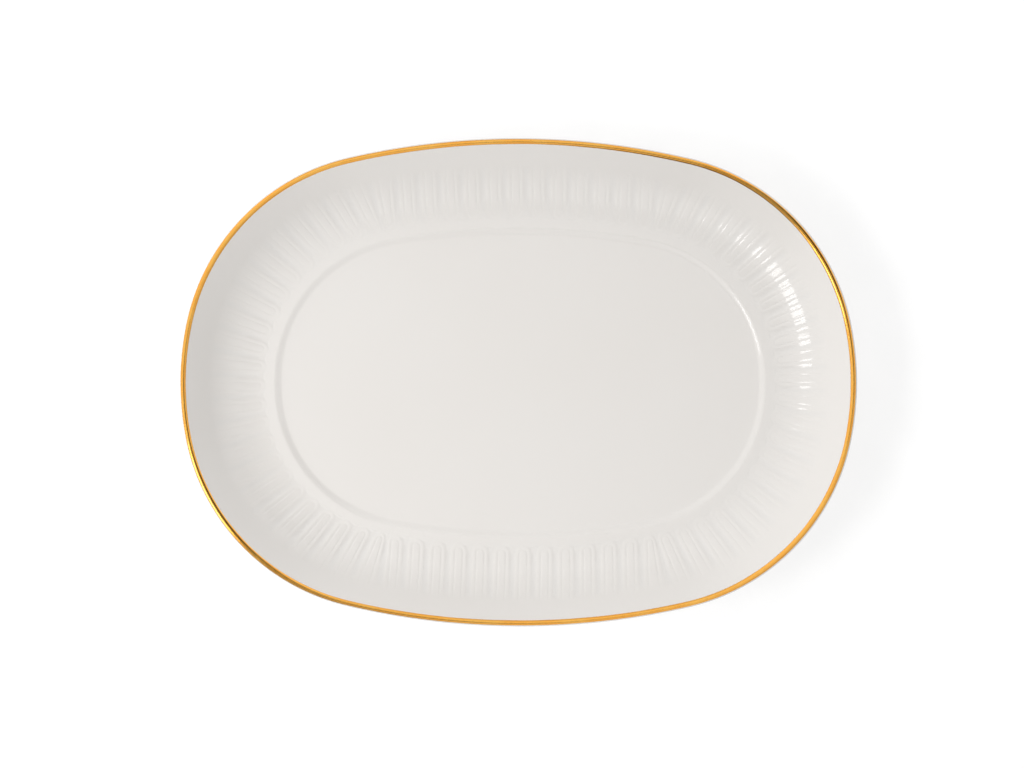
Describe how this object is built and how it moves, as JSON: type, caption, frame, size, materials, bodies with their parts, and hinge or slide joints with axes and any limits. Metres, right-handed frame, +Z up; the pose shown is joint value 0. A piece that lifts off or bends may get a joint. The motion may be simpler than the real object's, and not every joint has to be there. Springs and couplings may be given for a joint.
{
  "type": "oval serving platter",
  "caption": "Oval porcelain serving platter with a flat well, fluted flaring sides, a gilt lip and a low unglazed foot ring.",
  "frame": {"origin": "centre of the platter on the plane that the foot ring stands on", "axes": "+Z up out of the well, +X along the platter's length, +Y across its width"},
  "size_m": [0.4, 0.288, 0.0334],
  "materials": {
    "glazed_porcelain": "clear glossy glaze over warm white porcelain",
    "burnished_gold": "fired-on gold line, polished",
    "unglazed_porcelain": "bare biscuit, matt, wiped clean of glaze"
  },
  "bodies": {
    "root": {"porcelain_body": "glazed_porcelain", "gold_rim_band": "burnished_gold", "foot_ring": "unglazed_porcelain"}
  },
  "joints": []
}
